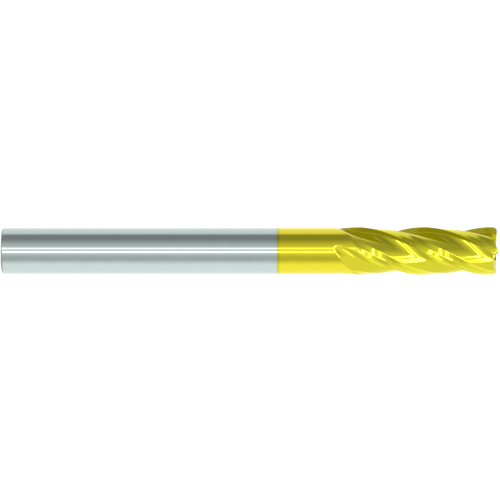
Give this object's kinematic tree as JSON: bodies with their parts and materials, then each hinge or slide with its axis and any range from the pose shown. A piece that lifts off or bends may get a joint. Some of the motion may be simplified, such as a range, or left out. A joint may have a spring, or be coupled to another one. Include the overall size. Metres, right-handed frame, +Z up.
{
  "type": "end mill",
  "caption": "Solid-carbide square-shouldered end mill with rounded corners, right-hand helical flutes, a gold-coloured coated cutting end and a bare ground shank.",
  "frame": {"origin": "centre of the flat face at the back end of the shank, on the tool's axis", "axes": "+X along the tool's axis from the shank to the cutting end, +Z up, +Y away from the viewer; the cutter turns clockwise seen along +X"},
  "size_m": [0.0508, 0.0048, 0.0048],
  "materials": {
    "bare_carbide": "bare cemented carbide, centreless ground to a bright finish",
    "gold_coating": "thin gold-coloured nitride coating over ground carbide, bright metallic"
  },
  "bodies": {
    "root": {"shank": "bare_carbide", "neck": "gold_coating", "cutting_head": "gold_coating"}
  },
  "joints": []
}
